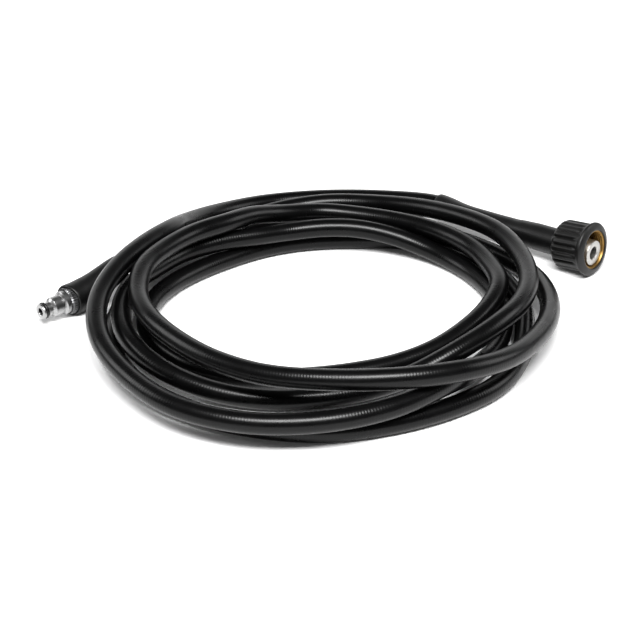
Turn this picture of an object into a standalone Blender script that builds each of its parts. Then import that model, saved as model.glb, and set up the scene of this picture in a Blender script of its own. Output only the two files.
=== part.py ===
"""High-pressure hose lying in a loose flat coil, with a swivel nut on one end and a plug nipple on the other.

Metres, +Z up, floor at z = 0. The coil's middle lies at COIL_X, COIL_Y.
"""
import math

import bmesh
import bpy
from mathutils import Vector

# Frame: the origin is the middle of the whole object's footprint
COIL_X = -0.0049
COIL_Y = -0.0005
GAP = 0.0003
WELD = 0.00001

# Hose
HOSE_OD = 0.0115
TUBE_SIDES_STEP = 2

# Pump end, distances run back from the nut's front face
NUT_FACE_X = 0.1625
NUT_FACE_Y = 0.0478
PUMP_AXIS_ANGLE = math.radians(-40.0)
NUT_TILT = math.radians(7.0)
PLUG_TILT = math.radians(2.0)
PLUG_PIVOT_BACK = 0.0285
NUT_BODY_OD = 0.0296
NUT_LENGTH = 0.0235
NUT_FLANGE_RISE = 0.00145
NUT_FLANGE_LENGTH = 0.0035
NUT_WALL = 0.0022
NUT_REAR_ROUNDING = 0.0040
NUT_RIBS = 18
NUT_RIB_DEPTH = 0.0008
NUT_CHAMFER = 0.0006
INSERT_OD = NUT_BODY_OD - 2.0 * NUT_WALL
INSERT_WALL = 0.0020
INSERT_DEPTH = 0.0185
THREAD_ID = INSERT_OD - 2.0 * INSERT_WALL
THREAD_DEPTH = 0.0150
INSERT_SETBACK = 0.0006
PLUG_SETBACK = 0.0008
HEAD_PLAY = 0.00285
NIPPLE_HEAD_OD = THREAD_ID - 2.0 * HEAD_PLAY
NIPPLE_HEAD_LENGTH = 0.0105
NIPPLE_SHANK_OD = 0.0114
SHANK_PLAY = 0.0016
PUMP_BORE = 0.0077
NUT_BACK_PLAY = 0.0013
PUMP_SLEEVE_FRONT = NUT_LENGTH + NUT_BACK_PLAY
PUMP_SLEEVE_OD = 0.0165
PUMP_SLEEVE_WAIST_OD = 0.0138

# Distance behind the sleeve's front, droop below the plug's axis and outer radius of the sleeve there.
# The hose starts at the first one.
PUMP_SLEEVE_STATIONS = (
    (0.0152, 0.00009, 0.00825),
    (0.0252, 0.00014, 0.00775),
    (0.0332, 0.00026, 0.00710),
    (0.0512, 0.00034, 0.00690),
    (0.0712, 0.00024, 0.00690),
)

# Gun end, whose line runs from its foot beside the coil's middle to the sleeve's mouth
GUN_LINE_RADIUS = 0.1018
GUN_LINE_ANGLE = math.radians(135.0)
GUN_MOUTH = 0.1060
GUN_AXIS_HEIGHT = 0.0094

# Distance behind the mouth and height of the middle
GUN_ROUTE = (
    (0.0660, 0.0171),
    (0.0580, 0.0179),
    (0.0500, 0.0182),
    (0.0450, 0.0179),
    (0.0400, 0.0172),
    (0.0350, 0.0160),
    (0.0300, 0.0144),
    (0.0200, 0.0112),
    (0.0140, 0.0100),
)
GUN_SLEEVE_LENGTH = 0.0400
GUN_SLEEVE_STRAIGHT = 0.0080
GUN_SLEEVE_BARREL = 0.0120
GUN_SLEEVE_OD = 0.0185
GUN_SLEEVE_TAIL_OD = 0.0150
GUN_SOCKET_DEPTH = 0.0130
FERRULE_OD = 0.0162
FERRULE_ID = 0.0143
COLLAR_OD = 0.0136
BARREL_OD = 0.0112
GROOVE_OD = 0.0100
NECK_OD = 0.0080
TIP_OD = 0.0090
GUN_NIPPLE_REACH = 0.0186
GUN_BORE = 0.0042
BORE_RUN_OUT = 0.0060
SEAL_OD = 0.0098
SEAL_THICKNESS = 0.0016
SEAL_SETBACK = 0.0025

# The coil's route, turn by turn: degrees round the middle, radius in mm, height of the middle in hose diameters
TURNS = (
    (
        (60, 146.5, .93), (75, 147.5, .62), (90, 146, .5), (105, 142.5, .55),
        (120, 131.6, .95), (135, 118, 1.64), (150, 105.5, 2.47), (165, 107.5, 2.68),
        (180, 116.6, 2.6), (195, 128.5, 2.3), (210, 138, 1.95), (225, 144.2, 1.65),
        (240, 150.3, 1.5), (255, 150, 1.45), (270, 145, 1.5), (285, 137.5, 1.58),
        (300, 127, 1.58), (315, 113.5, .8), (330, 108, .5), (345, 104.5, .5),
    ),
    (
        (0, 102, .5), (15, 98.5, .5), (30, 96, .5), (45, 91.5, .75),
        (60, 85, 1.2), (75, 79.5, 1.5), (90, 77, 1.53), (105, 77, 1.43),
        (120, 77, 1.5), (135, 83.5, 1.53), (150, 94, 1.42), (165, 101, 1.42),
        (180, 110, 1.53), (195, 116.5, 1.5), (210, 121, 1.35), (225, 120, 1.0),
        (240, 115, .65), (255, 109, .5), (270, 103, .5), (285, 98, .5),
        (300, 97, .75), (315, 102.5, 1.45), (330, 108.5, 1.9), (345, 114, 2.0),
    ),
    (
        (0, 117.5, 2.0), (15, 119.5, 2.0), (30, 121.5, 2.0), (45, 122, 1.8),
        (60, 126, 1.4), (75, 130, 1.0), (90, 131.5, .8), (105, 127.5, .6),
        (120, 119.3, .5), (135, 114.5, .5), (150, 114.5, .5), (165, 113.5, .5),
        (180, 115, .5), (195, 122, .5), (210, 129, .5), (225, 133, .5),
        (240, 135, .5), (255, 136, .5), (270, 136, .5), (285, 133, .5),
        (300, 131, .5), (315, 129.5, .5), (330, 123.5, .5), (345, 117, .5),
    ),
    (
        (0, 114.3, .5), (15, 111, .5), (30, 109.5, .5), (45, 104.5, .5),
        (60, 97, .5), (75, 88.5, .5), (90, 84.5, .5), (105, 82.5, .5),
        (120, 81.5, .5), (135, 82, .5), (150, 86, .5), (165, 92.5, .5),
        (180, 99, .5), (195, 102.5, .5), (210, 102.5, .5), (225, 99.5, .5),
        (240, 93.5, .5), (255, 87, .5), (270, 81.5, .5), (285, 79, .5),
        (300, 79, .5), (315, 83, .7), (330, 88, 1.0), (345, 95, 1.35),
    ),
    (
        (0, 101, 1.6), (15, 101.5, 1.55), (30, 102, 1.53), (45, 100.5, 1.53),
        (60, 98, 1.55), (75, 97.5, 1.53), (90, 98, 1.6), (105, 92, 1.88),
        (120, 85.7, 2.38), (135, 82.3, 2.6), (150, 88.5, 2.58), (165, 94.6, 2.6),
        (180, 102, 2.6), (195, 106.4, 2.4), (210, 108.6, 2.35), (225, 110.3, 2.3),
        (240, 114.6, 2.3), (255, 119.5, 2.35), (270, 124.5, 2.55), (285, 131.5, 2.72),
        (300, 136, 2.62), (315, 135, 2.15), (330, 131.5, 1.7), (345, 130, 1.4),
    ),
    (
        (0, 128.5, 1.1), (15, 127, .8), (30, 123.5, .55), (45, 119, .5),
        (60, 116, .5), (75, 114.5, .5), (90, 113, .5), (105, 109, .5),
        (120, 104.5, .5), (135, 102.5, .9), (150, 106.3, 1.38),
    ),
)

# The nut rests on the back edge of its body
NUT_REST_BACK = NUT_LENGTH - NUT_REAR_ROUNDING
NUT_FACE_Z = NUT_BODY_OD / 2 * math.cos(NUT_TILT) + NUT_REST_BACK * math.sin(NUT_TILT)
NUT_FACE = Vector((NUT_FACE_X + COIL_X, NUT_FACE_Y + COIL_Y, NUT_FACE_Z))
GUN_AXIS = Vector((-math.sin(GUN_LINE_ANGLE), math.cos(GUN_LINE_ANGLE), 0.0))


def pump_direction(tilt):
    """The way the pump end points, at a tilt above level."""
    level = math.cos(tilt)
    return Vector((math.cos(PUMP_AXIS_ANGLE) * level, math.sin(PUMP_AXIS_ANGLE) * level, math.sin(tilt)))


# The nut's face tips up, and the plug droops in the nut from a point behind its back
NUT_AXIS = pump_direction(NUT_TILT)
PLUG_AXIS = pump_direction(PLUG_TILT)
PLUG_PIVOT = NUT_FACE - NUT_AXIS * PLUG_PIVOT_BACK


def clear_scene():
    for item in list(bpy.data.objects):
        bpy.data.objects.remove(item, do_unlink=True)


def make_collections():
    parts = bpy.data.collections.new("pressure_washer_hose")
    cutters = bpy.data.collections.new("cutters")
    for collection in (parts, cutters):
        bpy.context.scene.collection.children.link(collection)
    return parts, cutters


def make_material(name, colour, metallic, roughness):
    material = bpy.data.materials.new(name)
    material.use_nodes = True
    shader = material.node_tree.nodes["Principled BSDF"]
    shader.inputs["Base Color"].default_value = (*colour, 1.0)
    shader.inputs["Metallic"].default_value = metallic
    shader.inputs["Roughness"].default_value = roughness
    return material


def pump_point(back):
    """A point on the plug's axis, so far behind the nut's front face."""
    return PLUG_PIVOT - PLUG_AXIS * (back - PLUG_PIVOT_BACK)


def gun_point(behind, height):
    """A point above the gun end's line, so far behind the sleeve's mouth."""
    foot = Vector(
        (
            GUN_LINE_RADIUS * math.cos(GUN_LINE_ANGLE) + COIL_X,
            GUN_LINE_RADIUS * math.sin(GUN_LINE_ANGLE) + COIL_Y,
            height,
        )
    )
    return foot + GUN_AXIS * (GUN_MOUTH - behind)


def gun_route_from(behind):
    """The gun end's stations from a distance behind the mouth onward, the first one right at it."""
    ahead = [station for station in GUN_ROUTE if station[0] < behind]
    for (far, high), (near, low) in zip(GUN_ROUTE, GUN_ROUTE[1:]):
        if far >= behind > near:
            return [(behind, low + (high - low) * (behind - near) / (far - near))] + ahead
    return ahead


def coil_points():
    """The coil's points, worked out turn by turn from the route."""
    points = []
    for turn in TURNS:
        for degrees, radius, height in turn:
            angle = math.radians(degrees)
            reach = radius / 1000.0
            points.append(
                Vector(
                    (
                        reach * math.cos(angle) + COIL_X,
                        reach * math.sin(angle) + COIL_Y,
                        height * HOSE_OD,
                    )
                )
            )
    return points


def link_mesh(name, mesh, collection, material=None):
    item = bpy.data.objects.new(name, mesh)
    collection.objects.link(item)
    if material:
        item.data.materials.clear()
        item.data.materials.append(material)
    return item


def tube_along(name, points, radii, collection, material=None, resolution=TUBE_SIDES_STEP):
    """A closed round bar through the points, with a radius at each one."""
    curve = bpy.data.curves.new(name + "_path", "CURVE")
    curve.dimensions = "3D"
    curve.bevel_depth = 1.0
    curve.bevel_resolution = resolution
    curve.use_fill_caps = True
    spline = curve.splines.new("POLY")
    spline.points.add(len(points) - 1)
    for knot, point, radius in zip(spline.points, points, radii):
        knot.co = (*point, 1.0)
        knot.radius = radius
    holder = bpy.data.objects.new(name + "_path", curve)
    collection.objects.link(holder)
    evaluated = holder.evaluated_get(bpy.context.evaluated_depsgraph_get())
    mesh = bpy.data.meshes.new_from_object(evaluated)
    mesh.name = name
    bpy.data.objects.remove(holder, do_unlink=True)
    weld = bmesh.new()
    weld.from_mesh(mesh)
    bmesh.ops.remove_doubles(weld, verts=weld.verts, dist=WELD)
    bmesh.ops.recalc_face_normals(weld, faces=weld.faces)
    weld.to_mesh(mesh)
    weld.free()
    return link_mesh(name, mesh, collection, material)


def turned_piece(name, rings, sides, collection, material=None):
    """A closed turned ring. Each ring is a radius and a distance along local +Z, taken once round the section."""
    mesh = bpy.data.meshes.new(name)
    shape = bmesh.new()
    loops = []
    for radius, along in rings:
        loop = []
        for index in range(sides):
            angle = 2.0 * math.pi * index / sides
            loop.append(shape.verts.new((radius * math.cos(angle), radius * math.sin(angle), along)))
        loops.append(loop)
    join_loops(shape, loops)
    shape.to_mesh(mesh)
    shape.free()
    return link_mesh(name, mesh, collection, material)


def join_loops(shape, loops):
    """Faces between each loop and the next, and from the last one back to the first."""
    sides = len(loops[0])
    for first, second in zip(loops, loops[1:] + loops[:1]):
        for index in range(sides):
            following = (index + 1) % sides
            shape.faces.new((first[index], first[following], second[following], second[index]))
    bmesh.ops.recalc_face_normals(shape, faces=shape.faces)


def stand_on_axis(item, origin, axis):
    """Puts a piece's own +Z along an axis, with its origin on it."""
    item.location = origin
    item.rotation_euler = axis.to_track_quat("Z", "Y").to_euler()


def cut(item, cutter):
    cutter.hide_render = True
    cutter.display_type = "WIRE"
    modifier = item.modifiers.new("cut", "BOOLEAN")
    modifier.operation = "DIFFERENCE"
    modifier.solver = "EXACT"
    modifier.object = cutter


def smooth_round(item):
    for polygon in item.data.polygons:
        polygon.use_smooth = True
    item.data.set_sharp_from_angle(angle=math.radians(40.0))


def bore_radius(fitted, sides):
    """The corner radius of a bore whose flats clear what it holds."""
    return (fitted + GAP) / math.cos(math.pi / sides)


def hose_route():
    """The hose's points, from inside the pump end's sleeve to inside the gun end's."""
    start = []
    for back, droop, _radius in PUMP_SLEEVE_STATIONS:
        start.append(pump_point(PUMP_SLEEVE_FRONT + back) - Vector((0.0, 0.0, droop)))
    finish = [gun_point(behind, height) for behind, height in GUN_ROUTE]
    return start + coil_points() + finish


def make_hose(parts, material):
    points = hose_route()
    hose = tube_along("hose", points, [HOSE_OD / 2] * len(points), parts, material)
    smooth_round(hose)


def make_pump_sleeve(parts, cutters, material):
    """The moulded bend protector behind the nut."""
    tail = hose_route()[: len(PUMP_SLEEVE_STATIONS) + 1]
    points = [pump_point(PUMP_SLEEVE_FRONT)] + tail
    radii = [PUMP_SLEEVE_OD / 2]
    radii += [radius for _back, _droop, radius in PUMP_SLEEVE_STATIONS]
    radii += [PUMP_SLEEVE_WAIST_OD / 2]
    sleeve = tube_along("pump_end_sleeve", points, radii, parts, material, 6)
    bore_points = [pump_point(PUMP_SLEEVE_FRONT - 0.002)] + hose_route()[: len(PUMP_SLEEVE_STATIONS) + 2]
    radius = bore_radius(HOSE_OD / 2, 12)
    bore = tube_along("pump_sleeve_bore", bore_points, [radius] * len(bore_points), cutters, None, 4)
    cut(sleeve, bore)
    smooth_round(sleeve)


def make_swivel_nut(parts, material):
    """The ribbed hand nut, open at the front, with a shoulder behind."""
    body = NUT_BODY_OD / 2
    flange = body + NUT_FLANGE_RISE
    socket = INSERT_OD / 2 + GAP
    shank = NIPPLE_SHANK_OD / 2 + SHANK_PLAY
    shoulder = -INSERT_DEPTH - INSERT_SETBACK - GAP
    rings = [
        (socket, 0.0, False),
        (flange - NUT_CHAMFER, 0.0, False),
        (flange, -NUT_CHAMFER, False),
        (flange, -NUT_FLANGE_LENGTH, False),
        (body, -NUT_FLANGE_LENGTH - 0.0004, True),
    ]
    for degrees in (0, 30, 60):
        angle = math.radians(degrees)
        rings.append(
            (
                body - NUT_REAR_ROUNDING * (1.0 - math.cos(angle)),
                -NUT_REST_BACK - NUT_REAR_ROUNDING * math.sin(angle),
                degrees < 60,
            )
        )
    rings += [
        (body - NUT_REAR_ROUNDING, -NUT_LENGTH, False),
        (shank, -NUT_LENGTH, False),
        (shank, shoulder, False),
        (socket, shoulder, False),
    ]
    mesh = bpy.data.meshes.new("swivel_nut")
    shape = bmesh.new()
    sides = NUT_RIBS * 4
    loops = []
    for radius, along, ribbed in rings:
        loop = []
        for index in range(sides):
            angle = 2.0 * math.pi * index / sides
            reach = radius
            if ribbed and index % 4 in (2, 3):
                reach = radius - NUT_RIB_DEPTH
            loop.append(shape.verts.new((reach * math.cos(angle), reach * math.sin(angle), along)))
        loops.append(loop)
    join_loops(shape, loops)
    shape.to_mesh(mesh)
    shape.free()
    nut = link_mesh("swivel_nut", mesh, parts, material)
    stand_on_axis(nut, NUT_FACE, NUT_AXIS)
    smooth_round(nut)


def make_thread_insert(parts, material):
    """The brass thread pressed into the nut, with a flange that catches the nipple's head."""
    outer = INSERT_OD / 2
    thread = THREAD_ID / 2
    shank = NIPPLE_SHANK_OD / 2 + SHANK_PLAY
    front = -INSERT_SETBACK
    rings = (
        (thread + 0.0006, front),
        (outer, front),
        (outer, front - INSERT_DEPTH),
        (shank, front - INSERT_DEPTH),
        (shank, -THREAD_DEPTH),
        (thread, -THREAD_DEPTH),
        (thread, front - 0.0008),
    )
    insert = turned_piece("nut_thread_insert", rings, 64, parts, material)
    stand_on_axis(insert, NUT_FACE, NUT_AXIS)
    smooth_round(insert)


def make_pump_nipple(parts, material):
    """The plug that the nut draws up, bored through."""
    head = NIPPLE_HEAD_OD / 2
    shank = NIPPLE_SHANK_OD / 2
    bore = PUMP_BORE / 2
    front = 0.0
    shoulder = front - NIPPLE_HEAD_LENGTH
    hose_start = PUMP_SLEEVE_FRONT + PUMP_SLEEVE_STATIONS[0][0]
    tail = PLUG_SETBACK - hose_start + GAP
    rings = (
        (bore + 0.0004, front),
        (head - 0.0006, front),
        (head, front - 0.0006),
        (head, shoulder),
        (shank, shoulder),
        (shank, tail),
        (bore, tail),
        (bore, front - 0.0004),
    )
    nipple = turned_piece("pump_end_nipple", rings, 48, parts, material)
    stand_on_axis(nipple, pump_point(PLUG_SETBACK), PLUG_AXIS)
    smooth_round(nipple)


def make_gun_sleeve(parts, cutters, material):
    """The short bend protector at the gun end, resting over the coil's floor strand."""
    path = gun_route_from(GUN_SLEEVE_LENGTH)
    path += [(GUN_SLEEVE_STRAIGHT, GUN_AXIS_HEIGHT), (0.0, GUN_AXIS_HEIGHT)]
    points = [gun_point(behind, height) for behind, height in path]
    swell = (GUN_SLEEVE_OD - GUN_SLEEVE_TAIL_OD) / 2
    radii = []
    for behind, _height in path:
        share = min(1.0, (GUN_SLEEVE_LENGTH - behind) / (GUN_SLEEVE_LENGTH - GUN_SLEEVE_BARREL))
        radii.append(GUN_SLEEVE_TAIL_OD / 2 + swell * share)
    sleeve = tube_along("gun_end_sleeve", points, radii, parts, material, 6)
    bore_path = gun_route_from(GUN_SLEEVE_LENGTH + BORE_RUN_OUT)
    bore_path += [(GUN_SLEEVE_STRAIGHT, GUN_AXIS_HEIGHT)]
    bore_points = [gun_point(behind, height) for behind, height in bore_path]
    radius = bore_radius(HOSE_OD / 2, 12)
    bore = tube_along("gun_sleeve_bore", bore_points, [radius] * len(bore_points), cutters, None, 4)
    cut(sleeve, bore)
    socket_points = [
        gun_point(GUN_SOCKET_DEPTH, GUN_AXIS_HEIGHT),
        gun_point(-BORE_RUN_OUT, GUN_AXIS_HEIGHT),
    ]
    radius = bore_radius(FERRULE_OD / 2, 20)
    socket = tube_along("gun_sleeve_socket", socket_points, [radius] * 2, cutters, None, 8)
    cut(sleeve, socket)
    smooth_round(sleeve)


def gun_mouth():
    return gun_point(0.0, GUN_AXIS_HEIGHT)


def make_ferrule(parts, material):
    """The knurled ring that locks the nipple in the sleeve's mouth."""
    outer = FERRULE_OD / 2
    inner = FERRULE_ID / 2
    rings = (
        (inner, 0.0006),
        (outer - 0.0004, 0.0006),
        (outer, 0.0002),
        (outer, -GUN_SOCKET_DEPTH + GAP),
        (inner, -GUN_SOCKET_DEPTH + GAP),
    )
    ferrule = turned_piece("gun_end_ferrule", rings, 48, parts, material)
    stand_on_axis(ferrule, gun_mouth(), GUN_AXIS)
    smooth_round(ferrule)


def make_gun_nipple(parts, material):
    """The plug nipple that pushes into the spray gun."""
    collar = COLLAR_OD / 2
    barrel = BARREL_OD / 2
    groove = GROOVE_OD / 2
    neck = NECK_OD / 2
    nose = TIP_OD / 2
    bore = GUN_BORE / 2
    tip = GUN_NIPPLE_REACH
    seat = SEAL_OD / 2 - SEAL_THICKNESS - GAP / 2
    seat_front = tip - SEAL_SETBACK + SEAL_THICKNESS / 2 + GAP
    seat_back = tip - SEAL_SETBACK - SEAL_THICKNESS / 2 - GAP
    tail = -GUN_SOCKET_DEPTH + GAP
    rings = (
        (bore, tip),
        (nose - 0.0006, tip),
        (nose, tip - 0.0005),
        (nose, seat_front),
        (seat, seat_front),
        (seat, seat_back),
        (nose, seat_back),
        (neck, seat_back - 0.0007),
        (neck, 0.0120),
        (barrel, 0.0109),
        (barrel, 0.0056),
        (groove, 0.0052),
        (groove, 0.0044),
        (collar - 0.0004, 0.0040),
        (collar, 0.0035),
        (collar, tail),
        (bore, tail),
    )
    nipple = turned_piece("gun_end_nipple", rings, 48, parts, material)
    stand_on_axis(nipple, gun_mouth(), GUN_AXIS)
    smooth_round(nipple)


def make_seal_ring(parts, material):
    """The rubber ring in the nipple's groove."""
    middle = SEAL_OD / 2 - SEAL_THICKNESS / 2
    rings = []
    for index in range(12):
        angle = -2.0 * math.pi * index / 12
        rings.append(
            (
                middle + SEAL_THICKNESS / 2 * math.cos(angle),
                GUN_NIPPLE_REACH - SEAL_SETBACK + SEAL_THICKNESS / 2 * math.sin(angle),
            )
        )
    seal = turned_piece("nipple_seal_ring", rings, 40, parts, material)
    stand_on_axis(seal, gun_mouth(), GUN_AXIS)
    smooth_round(seal)


def main():
    clear_scene()
    parts, cutters = make_collections()
    make_hose(parts, make_material("hose_rubber", (0.035, 0.035, 0.037), 0.0, 0.42))
    make_pump_sleeve(parts, cutters, make_material("sleeve_rubber", (0.03, 0.03, 0.032), 0.0, 0.5))
    make_swivel_nut(parts, make_material("nut_plastic", (0.035, 0.035, 0.037), 0.0, 0.45))
    make_thread_insert(parts, make_material("thread_brass", (0.78, 0.58, 0.27), 1.0, 0.3))
    make_pump_nipple(parts, make_material("nipple_nickel", (0.62, 0.6, 0.56), 1.0, 0.25))
    make_gun_sleeve(parts, cutters, make_material("gun_sleeve_rubber", (0.03, 0.03, 0.032), 0.0, 0.5))
    make_ferrule(parts, make_material("ferrule_steel", (0.2, 0.2, 0.21), 1.0, 0.4))
    make_gun_nipple(parts, make_material("nipple_chrome", (0.75, 0.75, 0.76), 1.0, 0.15))
    make_seal_ring(parts, make_material("seal_rubber", (0.02, 0.02, 0.02), 0.0, 0.5))


main()
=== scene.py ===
"""Dressed model of a high-pressure hose lying in a loose coil: its look, studio and camera."""
import logging
import math
from dataclasses import dataclass, field, replace
from enum import Enum
from typing import Any, Sequence

import bmesh
import bpy
from mathutils import Matrix, Vector


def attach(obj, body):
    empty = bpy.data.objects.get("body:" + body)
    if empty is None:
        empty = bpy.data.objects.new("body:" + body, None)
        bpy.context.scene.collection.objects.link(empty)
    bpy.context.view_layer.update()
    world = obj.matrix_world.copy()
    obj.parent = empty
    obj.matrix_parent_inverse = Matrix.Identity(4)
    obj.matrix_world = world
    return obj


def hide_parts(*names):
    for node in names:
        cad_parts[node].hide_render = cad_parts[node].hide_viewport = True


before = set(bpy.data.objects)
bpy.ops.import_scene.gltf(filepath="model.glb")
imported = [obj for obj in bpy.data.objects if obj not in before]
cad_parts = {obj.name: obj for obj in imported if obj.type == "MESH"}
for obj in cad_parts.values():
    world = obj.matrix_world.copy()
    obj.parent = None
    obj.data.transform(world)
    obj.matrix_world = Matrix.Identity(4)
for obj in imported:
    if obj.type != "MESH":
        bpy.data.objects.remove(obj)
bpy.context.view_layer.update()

LOG = logging.getLogger("pressure_hose")

# Frame, as in the part's source
COIL_X = -0.0049
COIL_Y = -0.0005
HOSE_OD = 0.0115

# Room between pieces that fit into each other, as in the part's source
GAP = 0.0003

# Points of a shape that lie closer than this are merged
MERGE_DISTANCE = 0.000002

# Sockets that are found by their place in the node
PLACE_OUTPUT = 3
ATTRIBUTE_OUTPUT = 2
BLEND_FACTOR = 0
BLEND_FIRST = 6
BLEND_SECOND = 7
BLEND_OUTPUT = 2

Colour = tuple[float, float, float]
Ring = tuple[float, float]


class Body(Enum):
    """The bodies that pieces ride on."""

    HOSE_LINE = "hose_line"
    NUT = "nut"


class Detail(Enum):
    """How many finer layers a noise has."""

    PLAIN = 2.0
    SOFT = 3.0
    RICH = 4.0
    FINEST = 5.0


class PumpEnd:
    """Sizes of the pump end, as in the part's source. Distances run back from the nut's face."""

    FACE_X = 0.1625
    FACE_Y = 0.0478
    AZIMUTH = math.radians(-40.0)
    NUT_TILT = math.radians(7.0)
    PLUG_TILT = math.radians(2.0)
    PIVOT_BACK = 0.0285
    BODY_OD = 0.0296
    LENGTH = 0.0235
    REAR_ROUNDING = 0.0040
    BACK_PLAY = 0.0013
    SLEEVE_FRONT = LENGTH + BACK_PLAY
    SLEEVE_OD = 0.0165
    WAIST_OD = 0.0138
    PLUG_SETBACK = 0.0008
    # Distance behind the sleeve's front, droop below the plug's axis and outer radius of the sleeve there
    STATIONS = (
        (0.0152, 0.00009, 0.00825),
        (0.0252, 0.00014, 0.00775),
        (0.0332, 0.00026, 0.00710),
        (0.0512, 0.00034, 0.00690),
        (0.0712, 0.00024, 0.00690),
    )


class GunEnd:
    """Sizes of the gun end, as in the part's source. Distances run back from the sleeve's mouth."""

    LINE_RADIUS = 0.1018
    LINE_ANGLE = math.radians(135.0)
    MOUTH = 0.1060
    AXIS_HEIGHT = 0.0094
    # Distance behind the mouth and height of the middle
    ROUTE = (
        (0.0660, 0.0171),
        (0.0580, 0.0179),
        (0.0500, 0.0182),
        (0.0450, 0.0179),
        (0.0400, 0.0172),
        (0.0350, 0.0160),
        (0.0300, 0.0144),
        (0.0200, 0.0112),
        (0.0140, 0.0100),
    )
    SLEEVE_LENGTH = 0.0400
    SLEEVE_STRAIGHT = 0.0080
    SLEEVE_OD = 0.0185
    TAIL_OD = 0.0150
    SOCKET_DEPTH = 0.0130
    FERRULE_OD = 0.0162
    FERRULE_ID = 0.0143
    REACH = 0.0186


# The coil's route, turn by turn: degrees, radius in mm, height of the middle in hose diameters
TURNS = (
    (
        (60, 146.5, .93), (75, 147.5, .62), (90, 146, .5), (105, 142.5, .55),
        (120, 131.6, .95), (135, 118, 1.64), (150, 105.5, 2.47), (165, 107.5, 2.68),
        (180, 116.6, 2.6), (195, 128.5, 2.3), (210, 138, 1.95), (225, 144.2, 1.65),
        (240, 150.3, 1.5), (255, 150, 1.45), (270, 145, 1.5), (285, 137.5, 1.58),
        (300, 127, 1.58), (315, 113.5, .8), (330, 108, .5), (345, 104.5, .5),
    ),
    (
        (0, 102, .5), (15, 98.5, .5), (30, 96, .5), (45, 91.5, .75),
        (60, 85, 1.2), (75, 79.5, 1.5), (90, 77, 1.53), (105, 77, 1.43),
        (120, 77, 1.5), (135, 83.5, 1.53), (150, 94, 1.42), (165, 101, 1.42),
        (180, 110, 1.53), (195, 116.5, 1.5), (210, 121, 1.35), (225, 120, 1.0),
        (240, 115, .65), (255, 109, .5), (270, 103, .5), (285, 98, .5),
        (300, 97, .75), (315, 102.5, 1.45), (330, 108.5, 1.9), (345, 114, 2.0),
    ),
    (
        (0, 117.5, 2.0), (15, 119.5, 2.0), (30, 121.5, 2.0), (45, 122, 1.8),
        (60, 126, 1.4), (75, 130, 1.0), (90, 131.5, .8), (105, 127.5, .6),
        (120, 119.3, .5), (135, 114.5, .5), (150, 114.5, .5), (165, 113.5, .5),
        (180, 115, .5), (195, 122, .5), (210, 129, .5), (225, 133, .5),
        (240, 135, .5), (255, 136, .5), (270, 136, .5), (285, 133, .5),
        (300, 131, .5), (315, 129.5, .5), (330, 123.5, .5), (345, 117, .5),
    ),
    (
        (0, 114.3, .5), (15, 111, .5), (30, 109.5, .5), (45, 104.5, .5),
        (60, 97, .5), (75, 88.5, .5), (90, 84.5, .5), (105, 82.5, .5),
        (120, 81.5, .5), (135, 82, .5), (150, 86, .5), (165, 92.5, .5),
        (180, 99, .5), (195, 102.5, .5), (210, 102.5, .5), (225, 99.5, .5),
        (240, 93.5, .5), (255, 87, .5), (270, 81.5, .5), (285, 79, .5),
        (300, 79, .5), (315, 83, .7), (330, 88, 1.0), (345, 95, 1.35),
    ),
    (
        (0, 101, 1.6), (15, 101.5, 1.55), (30, 102, 1.53), (45, 100.5, 1.53),
        (60, 98, 1.55), (75, 97.5, 1.53), (90, 98, 1.6), (105, 92, 1.88),
        (120, 85.7, 2.38), (135, 82.3, 2.6), (150, 88.5, 2.58), (165, 94.6, 2.6),
        (180, 102, 2.6), (195, 106.4, 2.4), (210, 108.6, 2.35), (225, 110.3, 2.3),
        (240, 114.6, 2.3), (255, 119.5, 2.35), (270, 124.5, 2.55), (285, 131.5, 2.72),
        (300, 136, 2.62), (315, 135, 2.15), (330, 131.5, 1.7), (345, 130, 1.4),
    ),
    (
        (0, 128.5, 1.1), (15, 127, .8), (30, 123.5, .55), (45, 119, .5),
        (60, 116, .5), (75, 114.5, .5), (90, 113, .5), (105, 109, .5),
        (120, 104.5, .5), (135, 102.5, .9), (150, 106.3, 1.38),
    ),
)


def pump_direction(tilt: float) -> Vector:
    """The way the pump end points.

    Args:
        tilt: angle above level, in radians.

    Returns:
        A unit vector out of the pump end.
    """
    level = math.cos(tilt)
    return Vector((math.cos(PumpEnd.AZIMUTH) * level, math.sin(PumpEnd.AZIMUTH) * level, math.sin(tilt)))


REST_BACK = PumpEnd.LENGTH - PumpEnd.REAR_ROUNDING
NUT_FACE = Vector(
    (
        PumpEnd.FACE_X + COIL_X,
        PumpEnd.FACE_Y + COIL_Y,
        PumpEnd.BODY_OD / 2 * math.cos(PumpEnd.NUT_TILT) + REST_BACK * math.sin(PumpEnd.NUT_TILT),
    )
)
NUT_AXIS = pump_direction(PumpEnd.NUT_TILT)
PLUG_AXIS = pump_direction(PumpEnd.PLUG_TILT)
PLUG_PIVOT = NUT_FACE - NUT_AXIS * PumpEnd.PIVOT_BACK
GUN_AXIS = Vector((-math.sin(GunEnd.LINE_ANGLE), math.cos(GunEnd.LINE_ANGLE), 0.0))


def pump_point(back: float) -> Vector:
    """A point on the plug's axis, so far behind the nut's front face."""
    return PLUG_PIVOT - PLUG_AXIS * (back - PumpEnd.PIVOT_BACK)


def gun_point(behind: float, height: float) -> Vector:
    """A point above the gun end's line, so far behind the sleeve's mouth."""
    foot = Vector(
        (
            GunEnd.LINE_RADIUS * math.cos(GunEnd.LINE_ANGLE) + COIL_X,
            GunEnd.LINE_RADIUS * math.sin(GunEnd.LINE_ANGLE) + COIL_Y,
            height,
        )
    )
    return foot + GUN_AXIS * (GunEnd.MOUTH - behind)


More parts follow.
